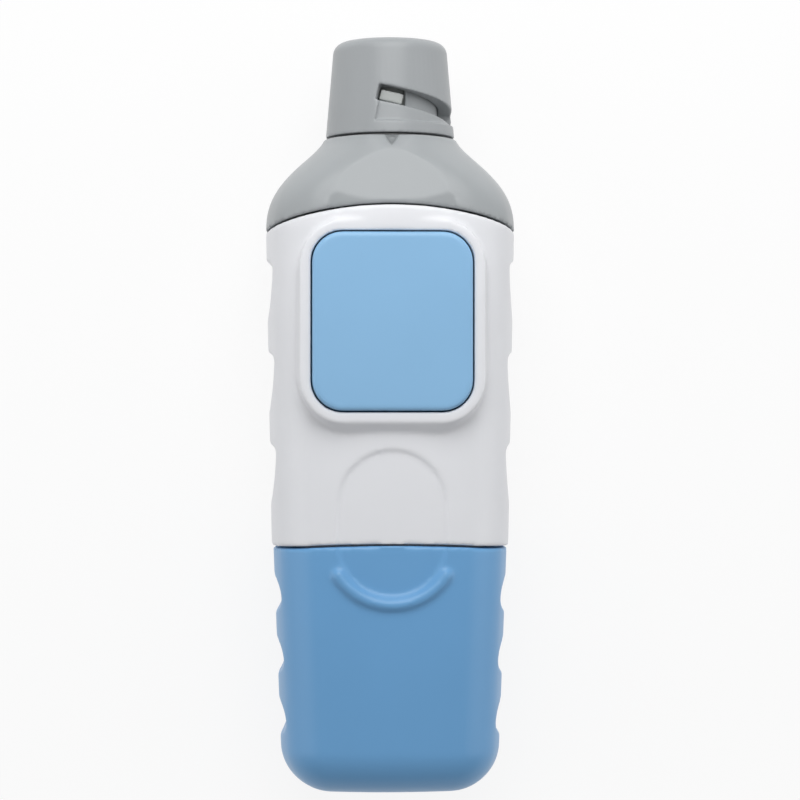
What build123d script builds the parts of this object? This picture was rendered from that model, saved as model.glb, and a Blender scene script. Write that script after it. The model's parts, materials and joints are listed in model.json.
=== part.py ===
# Lancing device: a flat oval body with a release button, a pull handle to cock it,
# and a push-on cap whose dial sets the depth of the prick.
# It lies on its back. X is its width, Y runs from the handle to the cap, Z points out of the button.
from build123d import *
import math
import os

# Lengths along the axis, from the foot of the handle to the tip of the dial
HANDLE_LENGTH = 31.75
HANDLE_GAP = 0.25
HOUSING_LENGTH = 41.1
CAP_GAP = 0.25
SHOULDER_LENGTH = 12.1
DIAL_GAP = 0.3
DIAL_LENGTH = 12.55

# Outer width of the body and how it narrows towards the foot, with its depths
BODY_WIDTH = 32.8
HOUSING_TAPER = 1.5
HANDLE_STEP = 0.45
HANDLE_TAPER = 2.4
NECK_SEAT_WIDTH = 17.4
AXIS_HEIGHT = 11.2
BACK_DEPTH = 11.6
FRONT_DEPTH_TOP = 12.9
FRONT_DEPTH_FOOT = 11.4
HANDLE_FOOT_FRONT_DEPTH = 11.0
BODY_CORNER = 6.5
FACE_TURN = 12.0
SIDE_TURN = 72.0
SHOULDER_SHARES = (0.0, 0.22, 0.42, 0.58, 0.72, 0.86)
SHOULDER_POWER = 2.6
SHOULDER_FLARE = 1.55
HANDLE_FOOT_ROUND = 6.0
HANDLE_FLOOR_ROUND = 4.4

# Walls and clearances
WALL = 1.8
CAP_WALL = 2.0
HANDLE_WALL = 1.5
HANDLE_FOOT_WALL = 1.8
SPIGOT_WALL = 1.2
SPIGOT_LENGTH = 15.5
SHELF_THICKNESS = 2.2
SLIDE_CLEARANCE = 0.2
RUNNING_CLEARANCE = 0.08
SEAT_CLEARANCE = 0.1
STOP_CLEARANCE = 0.3

# Curved seams, as rises from the sides to the middle
CAP_SEAM_RISE = 2.95
HANDLE_SEAM_RISE = 0.65

# Finger scallops down both sides, placed by their upper ends, deepest at the end of their entry
HOUSING_SCALLOPS = 3
HOUSING_SCALLOP_PITCH = 12.0
HOUSING_SCALLOP_FIRST = 3.7
HOUSING_SCALLOP_LENGTH = 8.1
HOUSING_SCALLOP_ENTRY = 1.0
HANDLE_SCALLOPS = 3
HANDLE_SCALLOP_PITCH = 8.1
HANDLE_SCALLOP_FIRST = 3.6
HANDLE_SCALLOP_LENGTH = 4.9
HANDLE_SCALLOP_ENTRY = 3.2
SCALLOP_DEPTH = 0.9
SCALLOP_FULLNESS = 0.75

# Release button and the raised surround of its window
BUTTON_WIDTH = 20.5
BUTTON_LENGTH = 22.8
BUTTON_CORNER = 3.9
BUTTON_GAP = 0.2
BUTTON_TRAVEL = 1.5
BUTTON_PROUD = 0.5
BUTTON_EDGE_ROUND = 0.5
BUTTON_TOP_MARGIN = 3.5
BUTTON_FLANGE = 1.1
BUTTON_FLANGE_THICKNESS = 1.0
UNDER_BUTTON = 0.7
WELL_WEB_THICKNESS = 1.2
BUTTON_RECESS_RADIUS = 3.0
BUTTON_RECESS_DEPTH = 1.6
SURROUND_RIM = 1.35
SURROUND_HEIGHT = 3.2
SURROUND_SIDE_SLOPE = 12.0
SURROUND_FOOT_SLOPE = 40.0
SURROUND_BASE_CORNER = 9.5
TONGUE_WIDTH = 5.0
TONGUE_THICKNESS = 1.2
POST_WIDTH = 2.4
POST_LENGTH = 2.0

# Shallow thumb pad across the handle seam, and the ridge at its lower end
THUMB_WIDTH = 14.2
THUMB_TOP = 12.8
THUMB_FOOT = 5.9
THUMB_DEPTH = 0.3
RIDGE_BEND_RADIUS = 8.2
RIDGE_SPAN = 13.8
RIDGE_RADIUS = 0.85
RIDGE_PROUD = 0.85
RIDGE_END_FALL = 0.45
RIDGE_DROP = 6.9

# Shoulder of the cap: thumb scoop, flat under it, pointer on a facet of its own
SCOOP_RADIUS = 70.0
SCOOP_TOP_DROP = 2.0
SCOOP_TOP_RISE = 0.89
SCOOP_RISE = 0.33
FLAT_WIDTH = 16.4
FLAT_DEPTH = 1.1
FACET_DROP = 0.5
FACET_SLOPE = 35.0
FACET_REACH = 3.0
POINTER_WIDTH = 1.9
POINTER_LENGTH = 1.9
POINTER_DEPTH = 0.45
SOCKET_WALL = 1.3
SOCKET_LENGTH = 8.2

# Dial, depth sleeve and their helical slot
DIAL_FOOT_RADIUS = 8.5
DIAL_TOP_RADIUS = 7.42
DIAL_TOP_ROUND = 1.6
DIAL_TOP_WALL = 1.8
DIAL_LIP_LENGTH = 1.5
DIAL_RECESS = 0.4
NEEDLE_HOLE_RADIUS = 2.1
SLOT_HEIGHT_ABOVE_FOOT = 4.9
SLOT_WIDTH = 2.1
SLOT_RISE_PER_RADIAN = 1.6
DIAL_TURN = 85.0
LUG_HALF_ANGLE = 12.2
LUG_WIDTH = 1.4
LUG_DROP = 0.25
LUG_END_PLAY = 1.3
NECK_RADIUS = 6.2
NECK_WALL = 0.85
BEAD_RADIUS = 0.22
BEAD_DROP = 2.0
SLEEVE_WALL = 0.8
SLEEVE_LENGTH = 8.0
SLEEVE_TOP_PLAY = 0.5
SLEEVE_LIP = 1.7
SLEEVE_LIP_THICKNESS = 1.0
DIAL_WASHER_THICKNESS = 0.2
DIAL_WASHER_WIDTH = 1.0

# Barrel, plunger and what they carry
BARREL_RADIUS = 6.0
BARREL_WALL = 1.4
NOSE_DROP = 3.3
BARREL_COLLAR_RADIUS = 6.5
BARREL_COLLAR_LENGTH = 1.4
WEB_THICKNESS = 1.4
HOLDER_RECESS = 2.0
HOLDER_LENGTH = 10.0
LANCET_RADIUS = 3.15
LANCET_DEPTH = 8.0
HOLDER_SLIT = 0.9
HOLDER_SLIT_DEPTH = 6.0
ROD_RADIUS = 2.2
ROD_CLEARANCE = 0.15
FLANGE_THICKNESS = 1.5
FINGER_LENGTH = 4.0
FINGER_WIDTH = 3.0
FINGER_THICKNESS = 1.0
WINDOW_LENGTH = 4.0
WINDOW_WIDTH = 3.6
COCK_TRAVEL = 7.0
OVERSHOOT = 2.5
HOOK_SLACK = 2.7
DRIVE_SPRING_LENGTH = 19.6
PLUG_STUB = 2.0
PLUG_FLANGE = 1.5
PLUG_RADIUS = 7.3
COLLAR_RADIUS = 3.2
COLLAR_LENGTH = 2.0
TAIL_RADIUS = 1.7
BULKHEAD_THICKNESS = 1.6
BULKHEAD_DROP = 2.2
SADDLE_THICKNESS = 1.6
SADDLE_PLACES = (0.36, 0.76)

# Cocking yoke and its screws
YOKE_RING_THICKNESS = 1.5
YOKE_RING_RADIUS = 7.6
YOKE_ARM_INSET = 0.45
YOKE_ARM_THICKNESS = 1.4
YOKE_ARM_WIDTH = 3.2
YOKE_PLATE_THICKNESS = 1.5
YOKE_PLATE_WIDTH = 6.4
YOKE_FOOT_MARGIN = 1.5
YOKE_FOOT_THICKNESS = 1.6
BOSS_RADIUS = 1.9
BOSS_HEIGHT = 3.2
SCREW_RADIUS = 0.9
SCREW_HEAD_RADIUS = 1.5
SCREW_HEAD_HEIGHT = 1.0
SCREW_BITE = 2.2
SCREW_CLEARANCE = 0.03

# Springs: wire radius and turns
DRIVE_WIRE = 0.4
DRIVE_TURNS = 9
RETURN_WIRE = 0.25
RETURN_TURNS = 5
BUTTON_WIRE = 0.22
BUTTON_TURNS = 3
BUTTON_SPRING_RADIUS = 2.3
BUTTON_SPRING_SEAT = 0.2
HANDLE_WIRE = 0.33
HANDLE_TURNS = 5
HANDLE_SPRING_LENGTH = 14.0
SPRING_CLEARANCE = 0.2
SPRING_END_PLAY = 0.05

# Places along the axis that follow from the lengths
OVERALL_LENGTH = (HANDLE_LENGTH + HANDLE_GAP + HOUSING_LENGTH + CAP_GAP
                  + SHOULDER_LENGTH + DIAL_GAP + DIAL_LENGTH)
FOOT_Y = -OVERALL_LENGTH / 2
HANDLE_TOP_Y = FOOT_Y + HANDLE_LENGTH
HOUSING_FOOT_Y = HANDLE_TOP_Y + HANDLE_GAP
HOUSING_TOP_Y = HOUSING_FOOT_Y + HOUSING_LENGTH
CAP_FOOT_Y = HOUSING_TOP_Y + CAP_GAP
SHOULDER_TOP_Y = CAP_FOOT_Y + SHOULDER_LENGTH
DIAL_FOOT_Y = SHOULDER_TOP_Y + DIAL_GAP
TIP_Y = DIAL_FOOT_Y + DIAL_LENGTH
HANDLE_TRAVEL = COCK_TRAVEL + HOOK_SLACK
DEEPEST_DRAW = HANDLE_TRAVEL + COCK_TRAVEL
NOSE_TOP_Y = SHOULDER_TOP_Y - NOSE_DROP
HOLDER_TOP_Y = NOSE_TOP_Y - HOLDER_RECESS
HOLDER_FOOT_Y = HOLDER_TOP_Y - HOLDER_LENGTH
WEB_TOP_Y = HOLDER_FOOT_Y - DEEPEST_DRAW - STOP_CLEARANCE
WEB_FOOT_Y = WEB_TOP_Y - WEB_THICKNESS
FINGER_TIP_Y = WEB_FOOT_Y - OVERSHOOT - STOP_CLEARANCE
FLANGE_TOP_Y = FINGER_TIP_Y - FINGER_LENGTH
FLANGE_FOOT_Y = FLANGE_TOP_Y - FLANGE_THICKNESS
STUB_TOP_Y = FLANGE_FOOT_Y - DRIVE_SPRING_LENGTH
PLUG_TOP_Y = STUB_TOP_Y - PLUG_STUB
PLUG_FOOT_Y = PLUG_TOP_Y - PLUG_FLANGE
PLATE_TOP_Y = PLUG_FOOT_Y - STOP_CLEARANCE
PLATE_FOOT_Y = PLATE_TOP_Y - YOKE_PLATE_THICKNESS
COLLAR_TOP_Y = PLATE_FOOT_Y - HOOK_SLACK
COLLAR_FOOT_Y = COLLAR_TOP_Y - COLLAR_LENGTH
RING_FOOT_Y = PLUG_TOP_Y + HANDLE_SPRING_LENGTH
RING_TOP_Y = RING_FOOT_Y + YOKE_RING_THICKNESS
LATCH_Y = FINGER_TIP_Y - COCK_TRAVEL
WINDOW_TOP_Y = LATCH_Y + SEAT_CLEARANCE
HANDLE_FLOOR_Y = FOOT_Y + HANDLE_FOOT_WALL
BUTTON_TOP_Y = HOUSING_TOP_Y + CAP_SEAM_RISE - BUTTON_TOP_MARGIN
BUTTON_MID_Y = BUTTON_TOP_Y - BUTTON_LENGTH / 2
BUTTON_FOOT_Y = BUTTON_TOP_Y - BUTTON_LENGTH
BULKHEAD_TOP_Y = HOUSING_TOP_Y - BULKHEAD_DROP
SLOT_Y = DIAL_FOOT_Y + SLOT_HEIGHT_ABOVE_FOOT

# Widths, heights and radii that follow
HOUSING_FOOT_WIDTH = BODY_WIDTH - HOUSING_TAPER
HANDLE_TOP_WIDTH = HOUSING_FOOT_WIDTH - HANDLE_STEP
HANDLE_FOOT_WIDTH = HANDLE_TOP_WIDTH - HANDLE_TAPER
BARREL_TOP_Z = AXIS_HEIGHT + BARREL_RADIUS
FLANGE_FOOT_Z = BARREL_TOP_Z + BUTTON_TRAVEL + UNDER_BUTTON
FLANGE_TOP_Z = FLANGE_FOOT_Z + BUTTON_FLANGE_THICKNESS
WELL_Z = FLANGE_TOP_Z + SEAT_CLEARANCE
SURROUND_TOP_Z = AXIS_HEIGHT + FRONT_DEPTH_TOP - SEAT_CLEARANCE
BORE_RADIUS = BARREL_RADIUS - BARREL_WALL
GUIDE_RADIUS = BORE_RADIUS - SEAT_CLEARANCE
CAVITY_HALF_WIDTH = HANDLE_FOOT_WIDTH / 2 - HANDLE_WALL
CAVITY_DEPTH = HANDLE_FOOT_FRONT_DEPTH - HANDLE_WALL
SLEEVE_RADIUS = NECK_RADIUS - NECK_WALL - RUNNING_CLEARANCE
DIAL_BORE_RADIUS = NECK_RADIUS + RUNNING_CLEARANCE
ARM_INNER_X = PLUG_RADIUS + YOKE_ARM_INSET
ARM_OUTER_X = ARM_INNER_X + YOKE_ARM_THICKNESS
SLOT_END_ANGLE = LUG_HALF_ANGLE + LUG_END_PLAY
BIG = 2 * OVERALL_LENGTH

# Local frame of the round pieces: local Z runs along the device, local -Y faces its front
AXIS = Plane(origin=(0, 0, AXIS_HEIGHT), x_dir=(1, 0, 0), z_dir=(0, 1, 0))


def quarter_outline(half_width, depth, corner):
    """Points from the middle of a face round one corner to the middle of a side.

    Three tangent arcs make it: a flat one on the face, the corner and a flat one on the side.
    """
    first = math.radians(FACE_TURN)
    last = math.radians(SIDE_TURN)
    s1, c1, s2, c2 = math.sin(first), math.cos(first), math.sin(last), math.cos(last)
    across = half_width - corner * (s2 - s1)
    down = depth - corner * (c1 - c2)
    scale = s1 * c2 - (1 - s2) * (1 - c1)
    face = (across * c2 - down * (1 - s2)) / scale
    side = (down * s1 - across * (1 - c1)) / scale
    corner_x = (face - corner) * s1
    corner_z = depth - face + (face - corner) * c1

    def on(centre_x, centre_z, radius, turn):
        return centre_x + radius * math.sin(turn), centre_z + radius * math.cos(turn)

    return [
        on(corner_x, corner_z, corner, first),
        on(corner_x, corner_z, corner, (first + last) / 2),
        on(corner_x, corner_z, corner, last),
        on(half_width - side, 0, side, (last + math.pi / 2) / 2),
        (half_width, 0),
    ]


def oval(y, half_width, front, back, corner):
    """Cross-section at a place along the axis: crowned faces joined by round corners."""
    upper = quarter_outline(half_width, front, corner)
    lower = quarter_outline(half_width, back, corner)

    def at(point, side=1, up=1):
        return side * point[0], y, AXIS_HEIGHT + up * point[1]

    arcs = [
        ThreePointArc(at(upper[0], -1), (0, y, AXIS_HEIGHT + front), at(upper[0])),
        ThreePointArc(*[at(p) for p in upper[:3]]),
        ThreePointArc(*[at(p) for p in upper[2:]]),
        ThreePointArc(*[at(p, 1, -1) for p in lower[:1:-1]]),
        ThreePointArc(*[at(p, 1, -1) for p in lower[2::-1]]),
        ThreePointArc(at(lower[0], 1, -1), (0, y, AXIS_HEIGHT - back), at(lower[0], -1, -1)),
        ThreePointArc(*[at(p, -1, -1) for p in lower[:3]]),
        ThreePointArc(*[at(p, -1, -1) for p in lower[2:]]),
        ThreePointArc(*[at(p, -1) for p in upper[:1:-1]]),
        ThreePointArc(*[at(p, -1) for p in upper[2::-1]]),
    ]
    return Face(Wire(arcs))


def tube(foot, top, outer, inner=0.0):
    """Round tube or rod on the axis between two places."""
    ring = Circle(outer) - Circle(inner) if inner else Circle(outer)
    return AXIS * Pos(0, 0, foot) * extrude(ring, top - foot)


def block(x0, x1, y0, y1, z0, z1):
    """Box between two corners."""
    return Pos((x0 + x1) / 2, (y0 + y1) / 2, (z0 + z1) / 2) * Box(x1 - x0, y1 - y0, z1 - z0)


def below_arc(side_y, half_width, rise):
    """Everything on the handle side of a seam that arches up between the two sides."""
    edge = ThreePointArc((-half_width, side_y), (0, side_y + rise), (half_width, side_y))
    low = side_y - BIG
    outline = edge + Polyline((half_width, side_y), (BIG, side_y), (BIG, low), (-BIG, low),
                              (-BIG, side_y), (-half_width, side_y))
    return extrude(make_face(outline), BIG, both=True)


def coil(foot, length, radius, wire, turns):
    """Coil spring on the axis, its ends inside the given length."""
    rise = length - 2 * wire
    path = Helix(rise / turns, rise, radius)
    end = Plane(origin=path @ 0, x_dir=(1, 0, 0), z_dir=path % 0)
    return AXIS * Pos(0, 0, foot + wire) * sweep(end * Circle(wire), path=path, is_frenet=True)


def helical_bar(inner, outer, height, first_angle, last_angle, drop=0.0):
    """Bar that follows the dial's slot, between two angles to the right of the front."""
    span = math.radians(last_angle - first_angle)
    rise = SLOT_RISE_PER_RADIAN * span
    path = Helix(2 * math.pi * SLOT_RISE_PER_RADIAN, rise, (inner + outer) / 2, lefthand=True)
    end = Plane(origin=path @ 0, x_dir=(1, 0, 0), z_dir=path % 0)
    bar = sweep(end * Rectangle(outer - inner, height), path=path, is_frenet=True)
    low = SLOT_Y - drop - SLOT_RISE_PER_RADIAN * math.radians(last_angle)
    return AXIS * Pos(0, 0, low) * Rot(0, 0, last_angle - 90) * bar


def shoulder_station(share):
    """Half width, front and back depth and corner of the shoulder, from seam 0 to neck 1."""
    swell = (1 - share ** SHOULDER_POWER) ** SHOULDER_FLARE
    neck = NECK_SEAT_WIDTH / 2

    def grown(full):
        return neck + (full - neck) * swell

    return (grown(BODY_WIDTH / 2), grown(FRONT_DEPTH_TOP), grown(BACK_DEPTH),
            grown(BODY_CORNER))


def housing_half_width(y):
    share = (y - HOUSING_FOOT_Y) / HOUSING_LENGTH
    return (HOUSING_FOOT_WIDTH + HOUSING_TAPER * share) / 2


def handle_half_width(y):
    share = (y - FOOT_Y) / HANDLE_LENGTH
    return (HANDLE_FOOT_WIDTH + HANDLE_TAPER * share) / 2


def body_form(inset, top_share=1.0):
    """Body from below the foot of the housing towards the neck, drawn in by an inset."""
    def section(y, half_width, front, back, corner):
        return oval(y, half_width - inset, front - inset, back - inset, corner - inset)

    trunk = []
    for y, front in ((HOUSING_FOOT_Y - SHELF_THICKNESS, FRONT_DEPTH_FOOT),
                     (BUTTON_FOOT_Y, FRONT_DEPTH_FOOT),
                     (HOUSING_TOP_Y, FRONT_DEPTH_TOP)):
        trunk.append(section(y, housing_half_width(y), front, BACK_DEPTH, BODY_CORNER))
    reach = SHOULDER_TOP_Y - HOUSING_TOP_Y
    shoulder = []
    for share in [s for s in SHOULDER_SHARES if s < top_share] + [top_share]:
        shoulder.append(section(HOUSING_TOP_Y + share * reach, *shoulder_station(share)))
    return loft(trunk, ruled=True) + loft(shoulder)


def handle_form(inset):
    """Outer form of the handle, drawn in by an inset."""
    stations = []
    for y, front in ((FOOT_Y, HANDLE_FOOT_FRONT_DEPTH),
                     (HANDLE_TOP_Y + HANDLE_SEAM_RISE, FRONT_DEPTH_FOOT)):
        stations.append(oval(y, handle_half_width(y) - inset, front - inset, BACK_DEPTH - inset,
                             BODY_CORNER - inset))
    return loft(stations)


def scallop_cutters(first_y, count, pitch, length, entry, half_width_at):
    """Finger scallops: an arc in from the upper end, then a longer one out again, on both sides."""
    cutters = []
    for i in range(count):
        top = first_y - i * pitch
        foot = top - length
        deepest = top - entry
        floor = half_width_at(deepest) - SCALLOP_DEPTH
        part_way = floor + SCALLOP_DEPTH * (1 - SCALLOP_FULLNESS)
        upper = (half_width_at(top), top)
        lower = (half_width_at(foot), foot)
        outline = (ThreePointArc(upper, (part_way, (top + deepest) / 2), (floor, deepest))
                   + ThreePointArc((floor, deepest), (part_way, (deepest + foot) / 2), lower)
                   + Polyline(lower, (BIG, foot), (BIG, top), upper))
        cutter = extrude(make_face(outline), BIG, both=True)
        cutters += [cutter, mirror(cutter, Plane.YZ)]
    return cutters


def thumb_column():
    """Upright column through the thumb pad, which crosses the seam of housing and handle."""
    top = HOUSING_FOOT_Y + THUMB_TOP
    foot = HANDLE_TOP_Y - THUMB_FOOT
    outline = Pos(0, (top + foot) / 2) * SlotOverall(top - foot, THUMB_WIDTH, rotation=90)
    return Pos(0, 0, AXIS_HEIGHT) * extrude(outline, BIG)


REST_PLANE_CUT = block(-BIG, BIG, -BIG, BIG, -BIG, 0)
UNDER_CAP = below_arc(HOUSING_TOP_Y, BODY_WIDTH / 2, CAP_SEAM_RISE)
UNDER_CAP_GAP = below_arc(CAP_FOOT_Y, BODY_WIDTH / 2, CAP_SEAM_RISE)
UNDER_HOUSING = below_arc(HOUSING_FOOT_Y, HOUSING_FOOT_WIDTH / 2, HANDLE_SEAM_RISE)
UNDER_HANDLE_GAP = below_arc(HANDLE_TOP_Y, HANDLE_TOP_WIDTH / 2, HANDLE_SEAM_RISE)
THUMB_COLUMN = thumb_column()


# White housing in two halves, with its spigot inside the handle
def surround():
    """Raised rim of the button's window, which slopes most at its lower end."""
    width = BUTTON_WIDTH + 2 * (BUTTON_GAP + SURROUND_RIM)
    length = BUTTON_LENGTH + 2 * (BUTTON_GAP + SURROUND_RIM)
    side = SURROUND_HEIGHT * math.tan(math.radians(SURROUND_SIDE_SLOPE))
    foot = SURROUND_HEIGHT * math.tan(math.radians(SURROUND_FOOT_SLOPE))
    rim = RectangleRounded(width, length, BUTTON_CORNER + BUTTON_GAP + SURROUND_RIM)
    base = RectangleRounded(width + 2 * side, length + side + foot, SURROUND_BASE_CORNER)
    base_place = Pos(0, BUTTON_MID_Y + (side - foot) / 2, SURROUND_TOP_Z - SURROUND_HEIGHT)
    return loft([base_place * base, Pos(0, BUTTON_MID_Y, SURROUND_TOP_Z) * rim])


def spigot(inset, foot, top):
    depth = CAVITY_DEPTH - inset
    corner = BODY_CORNER - HANDLE_WALL - inset
    section = oval(foot, CAVITY_HALF_WIDTH - inset, depth, depth, corner)
    return extrude(section, top - foot, dir=(0, 1, 0))


def saddle(share):
    y = HOUSING_FOOT_Y + share * HOUSING_LENGTH
    slab = block(-BIG, BIG, y, y + SADDLE_THICKNESS, 0, AXIS_HEIGHT)
    return slab & body_form(WALL / 2) - tube(-BIG, BIG, BARREL_RADIUS + SEAT_CLEARANCE)


def well_web():
    """Inner wall of the front half that screens the top of the button."""
    half = BUTTON_WIDTH / 2 + BUTTON_FLANGE + STOP_CLEARANCE
    foot = BUTTON_TOP_Y + BUTTON_FLANGE + STOP_CLEARANCE
    low = FLANGE_FOOT_Z - BUTTON_TRAVEL - STOP_CLEARANCE
    web = block(-half, half, foot, foot + WELL_WEB_THICKNESS, low, BIG)
    return web & body_form(WALL / 2) & UNDER_CAP


def button_well():
    """Window of the button, with the flat pocket that its flange moves in."""
    window = RectangleRounded(BUTTON_WIDTH + 2 * BUTTON_GAP, BUTTON_LENGTH + 2 * BUTTON_GAP,
                              BUTTON_CORNER + BUTTON_GAP)
    reach = 2 * (BUTTON_FLANGE + BUTTON_GAP)
    pocket = Rectangle(BUTTON_WIDTH + reach, BUTTON_LENGTH + reach)
    place = Pos(0, BUTTON_MID_Y, WELL_Z)
    return place * (extrude(window, BIG) + extrude(pocket, -BUTTON_TRAVEL - 2 * WALL))


def housing():
    shelf_y = HOUSING_FOOT_Y + SHELF_THICKNESS
    spigot_foot = HOUSING_FOOT_Y - SPIGOT_LENGTH
    hollow = body_form(WALL) - block(-BIG, BIG, -BIG, shelf_y, -BIG, BIG)
    shell = (body_form(0) + surround()) & UNDER_CAP
    shell = shell - UNDER_HOUSING - hollow - (THUMB_COLUMN - body_form(THUMB_DEPTH))
    shell += spigot(SLIDE_CLEARANCE, spigot_foot, shelf_y)
    shell -= spigot(SLIDE_CLEARANCE + SPIGOT_WALL, spigot_foot, shelf_y)
    shell -= REST_PLANE_CUT
    first = HOUSING_TOP_Y - HOUSING_SCALLOP_FIRST
    for cutter in scallop_cutters(first, HOUSING_SCALLOPS, HOUSING_SCALLOP_PITCH,
                                  HOUSING_SCALLOP_LENGTH, HOUSING_SCALLOP_ENTRY,
                                  housing_half_width):
        shell -= cutter
    return shell


def front_and_rear_housing():
    shell = housing()
    back_space = block(-BIG, BIG, -BIG, BIG, -BIG, AXIS_HEIGHT)
    front = shell - back_space - button_well() + well_web()
    rear = shell & back_space
    for share in SADDLE_PLACES:
        rear += saddle(share)
    return front, rear


def bulkhead():
    foot = BULKHEAD_TOP_Y - BULKHEAD_THICKNESS
    half = BUTTON_WIDTH / 2 + BUTTON_FLANGE + STOP_CLEARANCE
    notch_z = FLANGE_FOOT_Z - BUTTON_TRAVEL - STOP_CLEARANCE
    plate = body_form(WALL + SEAT_CLEARANCE) & block(-BIG, BIG, foot, BULKHEAD_TOP_Y, 0, BIG)
    plate -= tube(-BIG, BIG, BARREL_RADIUS + SEAT_CLEARANCE)
    return plate - block(-half, half, -BIG, BIG, notch_z, BIG)


# Barrel and the plunger that runs in it
def barrel():
    body = tube(PLUG_TOP_Y, NOSE_TOP_Y, BARREL_RADIUS, BORE_RADIUS)
    body += tube(WEB_FOOT_Y, WEB_TOP_Y, BARREL_RADIUS, ROD_RADIUS + ROD_CLEARANCE)
    collar_top = BULKHEAD_TOP_Y - BULKHEAD_THICKNESS - SEAT_CLEARANCE
    body += tube(collar_top - BARREL_COLLAR_LENGTH, collar_top, BARREL_COLLAR_RADIUS, BORE_RADIUS)
    seat_radius = BUTTON_SPRING_RADIUS + BUTTON_WIRE
    seat_height = BUTTON_SPRING_SEAT + BARREL_WALL / 2
    seat_mid_z = BARREL_TOP_Z + BUTTON_SPRING_SEAT - seat_height / 2
    body += Pos(0, BUTTON_MID_Y, seat_mid_z) * Cylinder(seat_radius, seat_height)
    window_foot = WINDOW_TOP_Y - WINDOW_LENGTH
    half = WINDOW_WIDTH / 2
    return body - block(-half, half, window_foot, WINDOW_TOP_Y, AXIS_HEIGHT, BIG)


def barrel_plug():
    rod_hole = ROD_RADIUS + ROD_CLEARANCE
    flange = tube(PLUG_FOOT_Y, PLUG_TOP_Y, PLUG_RADIUS, rod_hole)
    return flange + tube(PLUG_TOP_Y, STUB_TOP_Y, BORE_RADIUS - RUNNING_CLEARANCE, rod_hole)


def plunger():
    stem_top = HOLDER_TOP_Y - LANCET_DEPTH - STOP_CLEARANCE
    body = tube(COLLAR_TOP_Y, HOLDER_FOOT_Y, ROD_RADIUS)
    body += tube(COLLAR_FOOT_Y, COLLAR_TOP_Y, TAIL_RADIUS)
    body += tube(HOLDER_FOOT_Y, stem_top, TAIL_RADIUS)
    body += tube(FLANGE_FOOT_Y, FLANGE_TOP_Y, GUIDE_RADIUS)
    half = FINGER_WIDTH / 2
    low = AXIS_HEIGHT + GUIDE_RADIUS - FINGER_THICKNESS
    finger = block(-half, half, FLANGE_TOP_Y, FINGER_TIP_Y, low, BIG)
    return body + (finger & tube(FLANGE_TOP_Y, FINGER_TIP_Y, GUIDE_RADIUS))


def lancet_holder():
    floor = HOLDER_TOP_Y - LANCET_DEPTH
    body = tube(HOLDER_FOOT_Y, HOLDER_TOP_Y, GUIDE_RADIUS)
    body -= tube(floor, HOLDER_TOP_Y, LANCET_RADIUS)
    body -= tube(HOLDER_FOOT_Y, floor, TAIL_RADIUS + SCREW_CLEARANCE)
    half = HOLDER_SLIT / 2
    return body - block(-half, half, HOLDER_TOP_Y - HOLDER_SLIT_DEPTH, HOLDER_TOP_Y, -BIG, BIG)


def tail_collar():
    return tube(COLLAR_FOOT_Y, COLLAR_TOP_Y, COLLAR_RADIUS, TAIL_RADIUS + SCREW_CLEARANCE)


# Push-on cap: shoulder, friction washer, dial and depth sleeve
NECK_TOP_Y = TIP_Y - DIAL_TOP_WALL - STOP_CLEARANCE
NECK_BORE_RADIUS = NECK_RADIUS - NECK_WALL
CEILING_Y = SHOULDER_TOP_Y - CAP_WALL
LUG_RADIUS = DIAL_BORE_RADIUS + SLEEVE_WALL
SLEEVE_TRAVEL = SLOT_RISE_PER_RADIAN * math.radians(DIAL_TURN)


def lug_slot():
    """Straight guide in the neck that keeps the sleeve from turning."""
    half = LUG_RADIUS * math.sin(math.radians(LUG_HALF_ANGLE)) + SLIDE_CLEARANCE
    slope = SLOT_RISE_PER_RADIAN * math.radians(LUG_HALF_ANGLE)
    margin = LUG_WIDTH / 2 + slope + STOP_CLEARANCE
    lug_y = SLOT_Y - LUG_DROP
    return block(-half, half, lug_y - SLEEVE_TRAVEL - margin, lug_y + margin, AXIS_HEIGHT, BIG)


def shoulder_scoop():
    """Hollow for the thumb: a large cylinder that lies on a chord of the dome's front."""
    foot_y = CAP_FOOT_Y + CAP_SEAM_RISE + SCOOP_RISE
    foot_z = AXIS_HEIGHT + FRONT_DEPTH_TOP - FLAT_DEPTH
    top_y = SHOULDER_TOP_Y - SCOOP_TOP_DROP
    top_z = AXIS_HEIGHT + NECK_SEAT_WIDTH / 2 + SCOOP_TOP_RISE
    along = Vector(0, top_y - foot_y, top_z - foot_z)
    out = Vector(0, -along.Z, along.Y).normalized()
    middle = Vector(0, (foot_y + top_y) / 2, (foot_z + top_z) / 2) + out * SCOOP_RADIUS
    return Plane(origin=middle, x_dir=(1, 0, 0), z_dir=along) * Cylinder(SCOOP_RADIUS, BIG)


def shoulder_flat():
    half = FLAT_WIDTH / 2
    floor = AXIS_HEIGHT + FRONT_DEPTH_TOP - FLAT_DEPTH
    return block(-half, half, CAP_FOOT_Y, (CAP_FOOT_Y + SHOULDER_TOP_Y) / 2, floor, BIG)


def pointer_facet():
    """Chip off the front edge of the dial's seat, with the pointer sunk into it."""
    turn = math.radians(FACET_SLOPE)
    edge = (0, SHOULDER_TOP_Y, AXIS_HEIGHT + NECK_SEAT_WIDTH / 2 - FACET_DROP)
    facet = Plane(origin=edge, x_dir=(1, 0, 0), z_dir=(0, math.sin(turn), math.cos(turn)))
    chip = Rectangle(NECK_SEAT_WIDTH, FACET_REACH, align=(Align.CENTER, Align.MAX))
    half = POINTER_WIDTH / 2
    mark = Polyline((-half, 0), (half, 0), (0, -POINTER_LENGTH), close=True)
    cut = extrude(Pos(0, DIAL_GAP) * chip, FACET_REACH)
    return facet * (cut + extrude(make_face(mark), -POINTER_DEPTH))


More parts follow.
